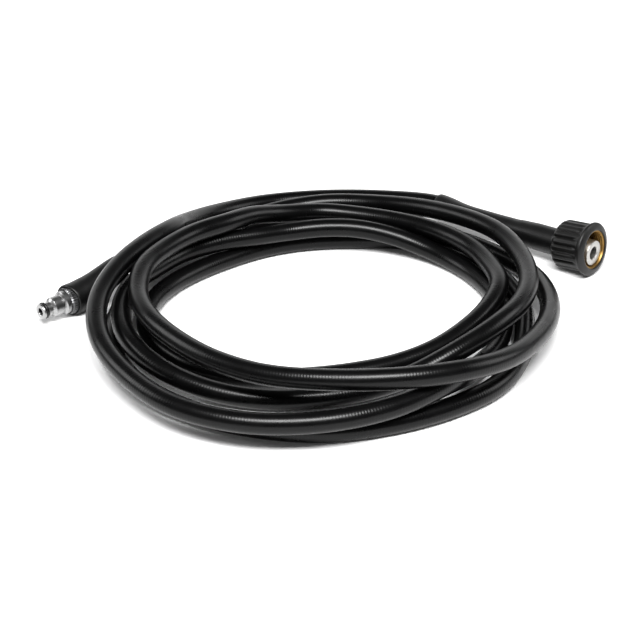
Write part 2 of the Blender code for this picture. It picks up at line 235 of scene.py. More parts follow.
class Route:
    """The hose's middle line, from inside the pump end's sleeve to inside the gun end's."""

    def __init__(self) -> None:
        """Gathers the route's own points."""
        self.pump = []
        for back, droop, _radius in PumpEnd.STATIONS:
            self.pump.append(pump_point(PumpEnd.SLEEVE_FRONT + back) - Vector((0.0, 0.0, droop)))
        self.coil = []
        for turn in TURNS:
            for degrees, radius, height in turn:
                angle = math.radians(degrees)
                reach = radius / 1000.0
                self.coil.append(
                    Vector(
                        (
                            reach * math.cos(angle) + COIL_X,
                            reach * math.sin(angle) + COIL_Y,
                            height * HOSE_OD,
                        )
                    )
                )
        self.gun = [gun_point(behind, height) for behind, height in GunEnd.ROUTE]

    def knots(self) -> list[Vector]:
        """All of the route's own points in order."""
        return self.pump + self.coil + self.gun


def smooth_line(knots: Sequence[Vector], spacing: float) -> list[Vector]:
    """A smooth curve along the knots, read off evenly and eased.

    Args:
        knots: the points that the curve follows.
        spacing: distance between the points that come back, in metres.

    Returns:
        Points close to the curve, with the first and the last knot among them.
    """
    steps = 24
    dense = []
    padded = [knots[0] * 2 - knots[1], *knots, knots[-1] * 2 - knots[-2]]
    for index in range(1, len(padded) - 2):
        p0, p1, p2, p3 = padded[index - 1 : index + 3]
        t0 = 0.0
        t1 = t0 + (p1 - p0).length ** 0.5
        t2 = t1 + (p2 - p1).length ** 0.5
        t3 = t2 + (p3 - p2).length ** 0.5
        for step in range(steps):
            t = t1 + (t2 - t1) * step / steps
            a1 = p0 * ((t1 - t) / (t1 - t0)) + p1 * ((t - t0) / (t1 - t0))
            a2 = p1 * ((t2 - t) / (t2 - t1)) + p2 * ((t - t1) / (t2 - t1))
            a3 = p2 * ((t3 - t) / (t3 - t2)) + p3 * ((t - t2) / (t3 - t2))
            b1 = a1 * ((t2 - t) / (t2 - t0)) + a2 * ((t - t0) / (t2 - t0))
            b2 = a2 * ((t3 - t) / (t3 - t1)) + a3 * ((t - t1) / (t3 - t1))
            dense.append(b1 * ((t2 - t) / (t2 - t1)) + b2 * ((t - t1) / (t2 - t1)))
    dense.append(knots[-1].copy())
    total = sum((b - a).length for a, b in zip(dense, dense[1:]))
    count = max(2, round(total / spacing))
    wanted = total / count
    line = [dense[0].copy()]
    walked, target = 0.0, wanted
    for a, b in zip(dense, dense[1:]):
        stretch = (b - a).length
        while walked + stretch >= target and len(line) < count:
            line.append(a.lerp(b, (target - walked) / stretch))
            target += wanted
        walked += stretch
    line.append(dense[-1].copy())
    return eased_line(line)


def eased_line(line: Sequence[Vector], passes: int = 6) -> list[Vector]:
    """The line with the jumps in its curvature evened out.

    Args:
        line: close points in order.
        passes: how many times each point moves halfway to its neighbours' middle.

    Returns:
        As many points, with the first and the last one in place.
    """
    eased = [point.copy() for point in line]
    for _round in range(passes):
        middles = [(a + b * 2 + c) / 4 for a, b, c in zip(eased, eased[1:], eased[2:])]
        eased = [eased[0], *middles, eased[-1]]
    return eased


def line_length(line: Sequence[Vector]) -> float:
    """The length of a line of points."""
    return sum((b - a).length for a, b in zip(line, line[1:]))


class Path:
    """A line of points with a direction and a side at every distance along it."""

    def __init__(self, points: Sequence[Vector]) -> None:
        """Carries a side vector along the line without twist.

        Args:
            points: close points in order.
        """
        self.points = [p.copy() for p in points]
        self.stations = [0.0]
        for a, b in zip(points, points[1:]):
            self.stations.append(self.stations[-1] + (b - a).length)
        self.ways = []
        for index in range(len(points)):
            before = points[max(0, index - 1)]
            after = points[min(len(points) - 1, index + 1)]
            self.ways.append((after - before).normalized())
        side = self.ways[0].cross(Vector((0.0, 0.0, 1.0))).normalized()
        self.sides = []
        for way in self.ways:
            side = (side - way * side.dot(way)).normalized()
            self.sides.append(side.copy())

    def frame_at(self, distance: float) -> tuple[Vector, Vector, Vector, Vector]:
        """The place and the directions at a distance, carried straight on past the ends.

        Args:
            distance: metres from the line's start.

        Returns:
            The point, then the direction along, to the side and across.
        """
        last = len(self.points) - 2
        index = 0
        while index < last and self.stations[index + 1] < distance:
            index += 1
        start, end = self.stations[index], self.stations[index + 1]
        share = (distance - start) / (end - start)
        clamped = min(1.0, max(0.0, share))
        point = self.points[index].lerp(self.points[index + 1], share)
        way = self.ways[index].lerp(self.ways[index + 1], clamped).normalized()
        side = self.sides[index].lerp(self.sides[index + 1], clamped)
        side = (side - way * side.dot(way)).normalized()
        return point, way, side, way.cross(side)


# Shader maths


class Value:
    """A number or link in a material's node tree that adds its own Math nodes."""

    def __init__(self, nodes: "Nodes", socket: Any) -> None:
        """Wraps a socket.

        Args:
            nodes: the node maker of the material.
            socket: an output socket.
        """
        self.nodes = nodes
        self.socket = socket

    def _math(self, operation: str, first: Any, second: Any = None) -> "Value":
        """Adds one Math node."""
        inputs = {0: first} if second is None else {0: first, 1: second}
        return self.nodes.make("ShaderNodeMath", {"operation": operation}, inputs)[0]

    def __add__(self, other: Any) -> "Value":
        """The sum."""
        return self._math("ADD", self, other)

    def __radd__(self, other: Any) -> "Value":
        """The sum, from the other side."""
        return self._math("ADD", other, self)

    def __sub__(self, other: Any) -> "Value":
        """The difference."""
        return self._math("SUBTRACT", self, other)

    def __rsub__(self, other: Any) -> "Value":
        """The difference, from the other side."""
        return self._math("SUBTRACT", other, self)

    def __mul__(self, other: Any) -> "Value":
        """The product."""
        return self._math("MULTIPLY", self, other)

    def __rmul__(self, other: Any) -> "Value":
        """The product, from the other side."""
        return self._math("MULTIPLY", other, self)

    def sine(self) -> "Value":
        """The sine of the value."""
        return self._math("SINE", self)


class Nodes:
    """Makes the nodes of one material."""

    def __init__(self, name: str) -> None:
        """Starts a material with one Principled shader.

        Args:
            name: the material's name.
        """
        self.material = bpy.data.materials.new(name)
        self.material.use_nodes = True
        self.tree = self.material.node_tree
        self.shader = self.tree.nodes["Principled BSDF"]

    def make(self, kind: str, settings: dict, inputs: dict) -> list[Value]:
        """Adds a node.

        Args:
            kind: the node's type.
            settings: its own settings, set first.
            inputs: values or links of its sockets, by index or name.

        Returns:
            Its outputs in order.
        """
        node = self.tree.nodes.new(kind)
        for key, value in settings.items():
            setattr(node, key, value)
        for key, value in inputs.items():
            self.feed(node.inputs[key], value)
        return [Value(self, output) for output in node.outputs]

    def feed(self, socket: Any, value: Any) -> None:
        """Sets a socket's value or links it."""
        if isinstance(value, Value):
            self.tree.links.new(value.socket, socket)
        else:
            socket.default_value = value

    def place(self) -> Value:
        """The point on the surface, in the frame of the whole part."""
        return self.make("ShaderNodeTexCoord", {}, {})[PLACE_OUTPUT]

    def attribute(self, name: str) -> Value:
        """A number kept on the piece's points."""
        return self.make("ShaderNodeAttribute", {"attribute_name": name}, {})[ATTRIBUTE_OUTPUT]

    def noise(self, scale: float, detail: Detail) -> Value:
        """Soft noise between 0 and 1.

        Args:
            scale: cells per metre.
            detail: its finer layers.

        Returns:
            The noise.
        """
        inputs = {"Vector": self.place(), "Scale": scale, "Detail": detail.value}
        return self.make("ShaderNodeTexNoise", {}, inputs)[0]

    def mix_colour(self, factor: Value, first: Colour, second: Colour) -> Value:
        """A blend of two colours.

        Args:
            factor: the share of the second colour.
            first: the first colour.
            second: the second colour.

        Returns:
            The blend.
        """
        inputs = {BLEND_FACTOR: factor, BLEND_FIRST: (*first, 1.0), BLEND_SECOND: (*second, 1.0)}
        return self.make("ShaderNodeMix", {"data_type": "RGBA"}, inputs)[BLEND_OUTPUT]

    def bump(self, height: Value, distance: float) -> Value:
        """A bumped normal.

        Args:
            height: the relief, about 0 to 1.
            distance: its depth, in metres.

        Returns:
            The normal.
        """
        inputs = {"Height": height, "Distance": distance, "Strength": 1.0}
        return self.make("ShaderNodeBump", {}, inputs)[0]

    def wave(self, distance: Value, pitch: float) -> Value:
        """A wave between 0 and 1.

        Args:
            distance: how far along it is read.
            pitch: the wave's length, in metres.

        Returns:
            The wave.
        """
        return (distance * (2.0 * math.pi / pitch)).sine() * 0.5 + 0.5

    def uneven(self, middle: float, spread: float, scale: float) -> Value:
        """A value that wanders about its middle over the surface.

        Args:
            middle: the value in the middle.
            spread: the width of its range.
            scale: cells per metre.

        Returns:
            The value.
        """
        return middle + (self.noise(scale, Detail.SOFT) - 0.5) * spread

    def finish(self, **sockets: Any) -> bpy.types.Material:
        """Feeds the shader's sockets, named with underscores for spaces."""
        for name, value in sockets.items():
            self.feed(self.shader.inputs[name.replace("_", " ")], value)
        return self.material


@dataclass(frozen=True)
class HoseRubber:
    """Black extruded rubber with the fine cross ridges that its curing tape leaves.

    The names that end in cells are the scales of the noise, in cells per metre.
    """

    dark: Colour = (0.0016, 0.0016, 0.0017)
    pale: Colour = (0.0040, 0.0040, 0.0042)
    mottle_cells: float = 90.0
    ridge_pitch: float = 0.0016
    ridge_depth: float = 0.00003
    ridge_wander: float = 0.6
    wander_cells: float = 55.0
    patch_cells: float = 24.0
    patch_gain: float = 1.5
    patch_least: float = 0.1
    grain_cells: float = 2600.0
    grain_share: float = 0.12
    roughness: float = 0.29
    roughness_spread: float = 0.14
    smear_cells: float = 140.0
    specular: float = 0.30

    def material(self) -> bpy.types.Material:
        """Builds the hose's material."""
        nodes = Nodes("hose_rubber_ridged")
        wander = nodes.noise(self.wander_cells, Detail.PLAIN) * (self.ridge_pitch * self.ridge_wander)
        ridges = nodes.wave(nodes.attribute("along") + wander, self.ridge_pitch)
        patch = nodes.noise(self.patch_cells, Detail.PLAIN) * self.patch_gain + self.patch_least
        height = ridges * patch + nodes.noise(self.grain_cells, Detail.PLAIN) * self.grain_share
        return nodes.finish(
            Base_Color=nodes.mix_colour(nodes.noise(self.mottle_cells, Detail.RICH), self.dark, self.pale),
            Roughness=nodes.uneven(self.roughness, self.roughness_spread, self.smear_cells),
            Normal=nodes.bump(height, self.ridge_depth),
            Specular_IOR_Level=self.specular,
        )


@dataclass(frozen=True)
class MouldedBlack:
    """Satin black moulding with a fine spark-eroded grain."""

    name: str
    dark: Colour
    pale: Colour
    roughness: float
    roughness_spread: float = 0.16
    smear_cells: float = 300.0
    mottle_cells: float = 160.0
    grain_cells: float = 2500.0
    grain_share: float = 0.7
    wave_cells: float = 120.0
    wave_share: float = 0.9
    grain_depth: float = 0.00003

    def material(self) -> bpy.types.Material:
        """Builds the moulding's material."""
        nodes = Nodes(self.name)
        grain = nodes.noise(self.grain_cells, Detail.SOFT) * self.grain_share
        waves = nodes.noise(self.wave_cells, Detail.PLAIN) * self.wave_share
        return nodes.finish(
            Base_Color=nodes.mix_colour(nodes.noise(self.mottle_cells, Detail.RICH), self.dark, self.pale),
            Roughness=nodes.uneven(self.roughness, self.roughness_spread, self.smear_cells),
            Normal=nodes.bump(grain + waves, self.grain_depth),
        )


@dataclass(frozen=True)
class TurnedMetal:
    """Turned and plated metal with faint tool marks round it."""

    name: str
    dark: Colour
    pale: Colour
    roughness: float
    roughness_spread: float = 0.12
    smear_cells: float = 900.0
    mottle_cells: float = 420.0
    mark_pitch: float = 0.00022
    mark_depth: float = 0.000006
    patch_cells: float = 700.0
    patch_least: float = 0.3

    def material(self) -> bpy.types.Material:
        """Builds the metal's material."""
        nodes = Nodes(self.name)
        marks = nodes.wave(nodes.attribute("along"), self.mark_pitch)
        patch = nodes.noise(self.patch_cells, Detail.PLAIN) + self.patch_least
        return nodes.finish(
            Base_Color=nodes.mix_colour(nodes.noise(self.mottle_cells, Detail.RICH), self.dark, self.pale),
            Metallic=1.0,
            Roughness=nodes.uneven(self.roughness, self.roughness_spread, self.smear_cells),
            Normal=nodes.bump(marks * patch, self.mark_depth),
        )


@dataclass(frozen=True)
class PaleFloor:
    """A plain pale paper floor."""

    pale: Colour = (0.97, 0.97, 0.97)
    fibre_shade: float = 0.995
    fibre_cells: float = 40.0
    roughness: float = 0.9
    glow: float = 0.03

    def material(self) -> bpy.types.Material:
        """Builds the floor's material."""
        nodes = Nodes("pale_floor")
        darker = tuple(part * self.fibre_shade for part in self.pale)
        return nodes.finish(
            Base_Color=nodes.mix_colour(nodes.noise(self.fibre_cells, Detail.FINEST), self.pale, darker),
            Roughness=self.roughness,
            Emission_Color=(1.0, 1.0, 1.0, 1.0),
            Emission_Strength=self.glow,
        )


# Modelling


def deselect_all() -> None:
    """Clears the selection that earlier steps leave."""
    bpy.ops.object.select_all(action="DESELECT")


def select_only(piece: bpy.types.Object) -> None:
    """Makes one object the selected and active one."""
    deselect_all()
    piece.select_set(True)
    bpy.context.view_layer.objects.active = piece


def keep_along(piece: bpy.types.Object, distances: Sequence[float]) -> None:
    """Stores each point's distance along the piece for its material.

    Args:
        piece: the piece.
        distances: one number for each of its vertices.
    """
    layer = piece.data.attributes.new("along", "FLOAT", "POINT")
    layer.data.foreach_set("value", list(distances))


def turned(name: str, rings: Sequence[Ring], sides: int) -> bpy.types.Object:
    """A closed ring section turned about +Z, by extruding a circle from ring to ring.

    Args:
        name: the piece's name.
        rings: radius and height of each ring, once round the section.
        sides: how many corners each ring has.

    Returns:
        The piece, standing at the origin.
    """
    deselect_all()
    first_radius, first_height = rings[0]
    bpy.ops.mesh.primitive_circle_add(
        vertices=sides, radius=first_radius, fill_type="NOTHING", location=(0.0, 0.0, 0.0)
    )
    piece = bpy.context.object
    piece.name = name
    piece.data.name = name
    bpy.ops.object.mode_set(mode="EDIT")
    bpy.ops.mesh.select_all(action="SELECT")
    bpy.ops.transform.translate(value=(0.0, 0.0, first_height))
    radius, height = first_radius, first_height
    for next_radius, next_height in rings[1:]:
        bpy.ops.mesh.extrude_region_move(
            TRANSFORM_OT_translate={"value": (0.0, 0.0, next_height - height)}
        )
        factor = next_radius / radius
        bpy.ops.transform.resize(value=(factor, factor, 1.0), center_override=(0.0, 0.0, 0.0))
        radius, height = next_radius, next_height
    bpy.ops.object.mode_set(mode="OBJECT")
    last_ring = sides * (len(rings) - 1)
    for vertex in piece.data.vertices:
        vertex.select = vertex.index < sides or vertex.index >= last_ring
    for edge in piece.data.edges:
        a, b = edge.vertices
        edge.select = max(a, b) < sides or min(a, b) >= last_ring
    for polygon in piece.data.polygons:
        polygon.select = False
    bpy.ops.object.mode_set(mode="EDIT")
    bpy.ops.mesh.select_mode(type="EDGE")
    bpy.ops.mesh.bridge_edge_loops()
    bpy.ops.mesh.select_all(action="SELECT")
    bpy.ops.mesh.remove_doubles(threshold=MERGE_DISTANCE)
    bpy.ops.mesh.normals_make_consistent(inside=False)
    bpy.ops.mesh.select_mode(type="VERT")
    bpy.ops.object.mode_set(mode="OBJECT")
    return piece


def shade(piece: bpy.types.Object, sharp_above: float) -> None:
    """Shades a piece smooth, with the edges above an angle in degrees kept sharp."""
    select_only(piece)
    bpy.ops.object.shade_smooth_by_angle(angle=math.radians(sharp_above))


def reach_of(vertex: bpy.types.MeshVertex) -> float:
    """A vertex's distance from the axis of its turned piece."""
    return math.hypot(vertex.co.x, vertex.co.y)


def turns_of(vertex: bpy.types.MeshVertex) -> float:
    """A vertex's place round the axis of its turned piece, in whole turns."""
    return math.atan2(vertex.co.y, vertex.co.x) / (2.0 * math.pi)


def push_out(vertex: bpy.types.MeshVertex, distance: float) -> None:
    """Moves a vertex away from the axis of its turned piece, or inwards where the distance is below 0."""
    scale = 1.0 + distance / reach_of(vertex)
    vertex.co.x *= scale
    vertex.co.y *= scale


def axis_matrix(origin: Vector, axis: Vector) -> Matrix:
    """The place that puts +Z along an axis."""
    return Matrix.Translation(origin) @ axis.to_track_quat("Z", "Y").to_matrix().to_4x4()


def set_on_axis(piece: bpy.types.Object, origin: Vector, axis: Vector) -> None:
    """Puts a turned piece on its axis, with the place in its mesh.

    Args:
        piece: a piece that stands at the origin.
        origin: where its own origin goes.
        axis: where its own +Z points.
    """
    keep_along(piece, [vertex.co.z for vertex in piece.data.vertices])
    piece.data.transform(axis_matrix(origin, axis))
    piece.matrix_world = Matrix.Identity(4)


def lay_on_path(piece: bpy.types.Object, path: Path) -> None:
    """Bends a turned piece so that its own +Z follows a path.

    Args:
        piece: a piece that stands at the origin.
        path: the line that it follows, from its height 0.
    """
    digits = 7
    keep_along(piece, [vertex.co.z for vertex in piece.data.vertices])
    known: dict[float, tuple[Vector, Vector, Vector, Vector]] = {}
    for vertex in piece.data.vertices:
        height = round(vertex.co.z, digits)
        if height not in known:
            known[height] = path.frame_at(height)
        point, _way, side, across = known[height]
        vertex.co = point + side * vertex.co.x + across * vertex.co.y
    piece.data.update()


def dress(piece: bpy.types.Object, material: bpy.types.Material, slot: str, body: Body, *nodes: str) -> None:
    """Gives a finished piece its material and body.

    Args:
        piece: the piece.
        material: its finish.
        slot: the record's material slot that it belongs to; not used.
        body: the body that it rides on.
        nodes: the CAD nodes that it stands for.
    """
    piece.data.materials.clear()
    piece.data.materials.append(material)
    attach(piece, body.value)
    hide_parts(*nodes)
    LOG.info("%s: %d faces on %s", piece.name, len(piece.data.polygons), body.value)


@dataclass
class Hose:
    """The hose itself, one long tube on its route."""

    route: Route
    radius: float = HOSE_OD / 2
    sides: int = 24
    spacing: float = 0.0026
    line: list[Vector] = field(default_factory=list)

    def build(self) -> bpy.types.Object:
        """Sweeps the tube along the route."""
        self.line = smooth_line(self.route.knots(), self.spacing)
        path = Path(self.line)
        mesh = bpy.data.meshes.new("pressure_hose")
        shape = bmesh.new()
        rings = []
        distances = []
        for index, point in enumerate(path.points):
            side = path.sides[index]
            across = path.ways[index].cross(side)
            ring = []
            for corner in range(self.sides):
                angle = 2.0 * math.pi * corner / self.sides
                reach = side * math.cos(angle) + across * math.sin(angle)
                ring.append(shape.verts.new(point + reach * self.radius))
                distances.append(path.stations[index])
            rings.append(ring)
        layer = shape.loops.layers.uv.new("hose_uv")
        turn = 2.0 * math.pi * self.radius
        for index in range(len(rings) - 1):
            for corner in range(self.sides):
                following = (corner + 1) % self.sides
                face = shape.faces.new(
                    (
                        rings[index][corner],
                        rings[index][following],
                        rings[index + 1][following],
                        rings[index + 1][corner],
                    )
                )
                face.smooth = True
                around = (corner, corner + 1, corner + 1, corner)
                ahead = (index, index, index + 1, index + 1)
                for loop, a, b in zip(face.loops, around, ahead):
                    loop[layer].uv = (turn * a / self.sides, path.stations[b])
        shape.faces.new(list(reversed(rings[0])))
        shape.faces.new(rings[-1])
        bmesh.ops.recalc_face_normals(shape, faces=shape.faces)
        shape.to_mesh(mesh)
        shape.free()
        piece = bpy.data.objects.new("pressure_hose", mesh)
        bpy.context.scene.collection.objects.link(piece)
        keep_along(piece, distances)
        return piece

    def declare(self) -> None:
        """Works out the hose's length and a thinned copy of its line, and keeps neither."""
        line_length(self.line)
        [tuple(p) for p in self.line[::2] + self.line[-1:]]


@dataclass
class PumpFitting:
    """The swivel nut with its thread and plug, and the long sleeve behind them.

    A corner is given by how far inside the radius and how far behind the face it lies.
    """

    route: Route
    line_spacing: float = 0.002
    sleeve_steps: int = 40
    sleeve_sides: int = 40
    sleeve_mouth: float = 0.0008
    sleeve_edge: float = 0.0006
    sleeve_tail: float = 0.0010
    sleeve_tail_corner: Ring = (0.00025, 0.0003)
    sleeve_bore_share: float = 0.94

    edge: float = 0.0004
    corner: float = 0.0003
    hole_radius: float = 0.0073
    lip_radius: float = 0.0116
    lip_width: float = 0.0011
    lip_edge: float = 0.0002
    flange_radius: float = 0.01625
    flange_corners: tuple[Ring, ...] = (
        (0.0014, 0.0009),
        (0.0004, 0.0013),
        (0.0, 0.0019),
        (0.0, 0.0027),
        (0.0004, 0.0034),
    )
    flange_foot: float = 0.0039
    body_front: float = 0.0046
    grip_front: float = 0.0056
    grip_steps: int = 9
    rounding_steps: int = 6
    rear_width: float = 0.0048
    socket_radius: float = 0.0129
    socket_depth: float = 0.0194

    ribs: int = 18
    steps_a_rib: int = 8
    rib_front: float = 0.0050
    rib_fade: float = 0.0016
    rib_back: float = PumpEnd.REAR_ROUNDING * 0.8
    hollow_depth: float = 0.0009
    hollow_width: float = 0.52
    hollow_steepness: float = 0.8
    crown_height: float = 0.00012

    insert_radius: float = 0.0126
    insert_front: float = 0.0006
    insert_back: float = 0.0191
    insert_chamfer: float = 0.0005
    crest_radius: float = 0.0106
    crest_room: float = 0.00005
    crest_edge: float = 0.0001
    thread_back: float = 0.0150
    thread_margins: Ring = (0.0002, 0.0008)
    thread_run_out: Ring = (0.0004, 0.0006)
    thread_pitch: float = 0.0015
    thread_depth: float = 0.00042
    thread_steps: int = 76
    thread_sides: int = 72

    head_radius: float = 0.00775
    head_length: float = 0.0105
    head_rounding: float = 0.0007
    head_edge: float = 0.0002
    head_chamfer: float = 0.0005
    shank_radius: float = 0.0057
    bore_radius: float = 0.00385
    bore_chamfer: Ring = (0.0005, 0.0006)
    plug_sides: int = 64

    def sleeve(self) -> bpy.types.Object:
        """The moulded sleeve, thick behind the nut and slim along the hose."""
        tail_point = self.route.coil[0]
        knots = [pump_point(PumpEnd.SLEEVE_FRONT), *self.route.pump, tail_point, self.route.coil[1]]
        path = Path(smooth_line(knots, self.line_spacing))
        tail = self._distance_to(path, tail_point)
        outer, waist = PumpEnd.SLEEVE_OD / 2, PumpEnd.WAIST_OD / 2
        bore = HOSE_OD / 2 + GAP
        known = [(0.0, outer)]
        known += [(back, radius) for back, _droop, radius in PumpEnd.STATIONS]
        known += [(tail, waist)]
        edge = self.sleeve_edge
        rings = [(bore + self.sleeve_mouth, 0.0), (outer - edge, 0.0), (outer, edge)]
        for step in range(1, self.sleeve_steps):
            distance = edge + (tail - edge - self.sleeve_tail) * step / self.sleeve_steps
            rings.append((self._outer(known, distance), distance))
        inside, before = self.sleeve_tail_corner
        rings += [(waist, tail - self.sleeve_tail), (waist - inside, tail - before), (waist - edge, tail)]
        for step in range(self.sleeve_steps + 1):
            rings.append((bore, tail - tail * self.sleeve_bore_share * step / self.sleeve_steps))
        piece = turned("pump_end_bend_sleeve", rings, self.sleeve_sides)
        lay_on_path(piece, path)
        shade(piece, sharp_above=50.0)
        return piece

    def _distance_to(self, path: Path, point: Vector) -> float:
        """How far along a path, in whole millimetres, a point close to it lies."""
        step, near = 0.001, 0.0012
        distance = 0.0
        while (path.frame_at(distance)[0] - point).length > near:
            distance += step
        return distance

    def _outer(self, known: Sequence[tuple[float, float]], back: float) -> float:
        """The sleeve's radius at a distance behind its front, eased between stations."""
        for (start, first), (end, second) in zip(known, known[1:]):
            if back <= end:
                share = max(0.0, (back - start) / (end - start))
                eased = share * share * (3.0 - 2.0 * share)
                return first + (second - first) * eased
        return known[-1][1]

    def nut(self) -> bpy.types.Object:
        """The ribbed hand nut with its front flange."""
        body, lip, hole, socket = PumpEnd.BODY_OD / 2, self.lip_radius, self.hole_radius, self.socket_radius
        edge, corner = self.edge, self.corner
        rear, floor = -PumpEnd.LENGTH, -self.socket_depth
        rings: list[Ring] = [(lip + self.lip_edge, 0.0), (lip + self.lip_width, 0.0)]
        rings += [(self.flange_radius - inside, -behind) for inside, behind in self.flange_corners]
        rings += [(body + corner, -self.flange_foot), (body, -self.body_front)]
        grip_length = REST_BACK - self.grip_front
        for step in range(self.grip_steps + 1):
            rings.append((body, -self.grip_front - grip_length * step / self.grip_steps))
        drop = PumpEnd.REAR_ROUNDING
        for step in range(1, self.rounding_steps + 1):
            angle = math.pi / 2 * step / self.rounding_steps
            rings.append((body - drop * (1.0 - math.cos(angle)), -REST_BACK - drop * math.sin(angle)))
        rings += [
            (body - self.rear_width, rear),
            (hole + edge, rear),
            (hole, rear + edge),
            (hole, floor - edge),
            (hole + corner, floor),
            (socket - corner, floor),
            (socket, floor + edge),
            (socket, -edge),
            (lip, -edge),
            (lip, -self.lip_edge),
        ]
        piece = turned("ribbed_hand_nut", rings, self.ribs * self.steps_a_rib)
        self._carve_ribs(piece, body)
        set_on_axis(piece, NUT_FACE, NUT_AXIS)
        shade(piece, sharp_above=50.0)
        return piece

    def _carve_ribs(self, piece: bpy.types.Object, body: float) -> None:
        """Draws the hollows between the ribs in, fading out before the flange and round the back.

        Args:
            piece: the nut, standing at the origin.
            body: the nut's radius over its ribs.
        """
        for vertex in piece.data.vertices:
            before_back = reach_of(vertex) - body + self.rib_back
            behind_front = -self.rib_front - vertex.co.z
            if before_back < 0.0 or behind_front < 0.0:
                continue
            fade = min(1.0, behind_front / self.rib_fade) * min(1.0, before_back / self.rib_fade)
            turn = turns_of(vertex) * self.ribs
            offset = abs(turn - round(turn)) * 2.0
            hollow = max(0.0, 1.0 - offset / self.hollow_width) ** self.hollow_steepness
            crown = math.sin(math.pi * min(1.0, offset))
            push_out(vertex, (self.crown_height * crown - self.hollow_depth * hollow) * fade)
        piece.data.update()

    def thread(self) -> bpy.types.Object:
        """The brass insert, with a thread running down inside it."""
        crest, hole = self.crest_radius, self.hole_radius
        front, end, back = -self.insert_front, -self.thread_back, -self.insert_back
        low, high = end + self.thread_margins[0], front - self.thread_margins[1]
        rings: list[Ring] = [
            (crest + self.insert_chamfer, front),
            (self.insert_radius, front),
            (self.insert_radius, back),
            (hole, back),
            (hole, end),
            (crest + self.crest_edge, end),
        ]
        for step in range(self.thread_steps + 1):
            rings.append((crest, low + (high - low) * step / self.thread_steps))
        piece = turned("brass_thread_insert", rings, self.thread_sides)
        cut_low, cut_high = low + self.thread_run_out[0], high - self.thread_run_out[1]
        for vertex in piece.data.vertices:
            height = vertex.co.z
            if abs(reach_of(vertex) - crest) > self.crest_room or not cut_low < height < cut_high:
                continue
            phase = (height / self.thread_pitch + turns_of(vertex)) % 1.0
            push_out(vertex, self.thread_depth * (1.0 - abs(phase * 2.0 - 1.0)))
        set_on_axis(piece, NUT_FACE, NUT_AXIS)
        shade(piece, sharp_above=30.0)
        return piece

    def plug(self) -> bpy.types.Object:
        """The plated plug with its bore."""
        head, shank, bore = self.head_radius, self.shank_radius, self.bore_radius
        rounding, edge, chamfer = self.head_rounding, self.head_edge, self.head_chamfer
        bore_width, bore_depth = self.bore_chamfer
        behind = -self.head_length
        hose_start = PumpEnd.SLEEVE_FRONT + PumpEnd.STATIONS[0][0]
        tail = PumpEnd.PLUG_SETBACK - hose_start + GAP
        rings: list[Ring] = [
            (bore + bore_width, 0.0),
            (head - rounding, 0.0),
            (head - edge, -edge),
            (head, -rounding),
            (head, behind + chamfer),
            (head - chamfer, behind),
            (shank + edge, behind),
            (shank, behind - edge),
            (shank, tail),
            (bore, tail),
            (bore, -2.0 * chamfer),
            (bore, -bore_depth),
        ]
        piece = turned("pump_plug_nipple", rings, self.plug_sides)
        set_on_axis(piece, pump_point(PumpEnd.PLUG_SETBACK), PLUG_AXIS)
        shade(piece, sharp_above=32.0)
        return piece


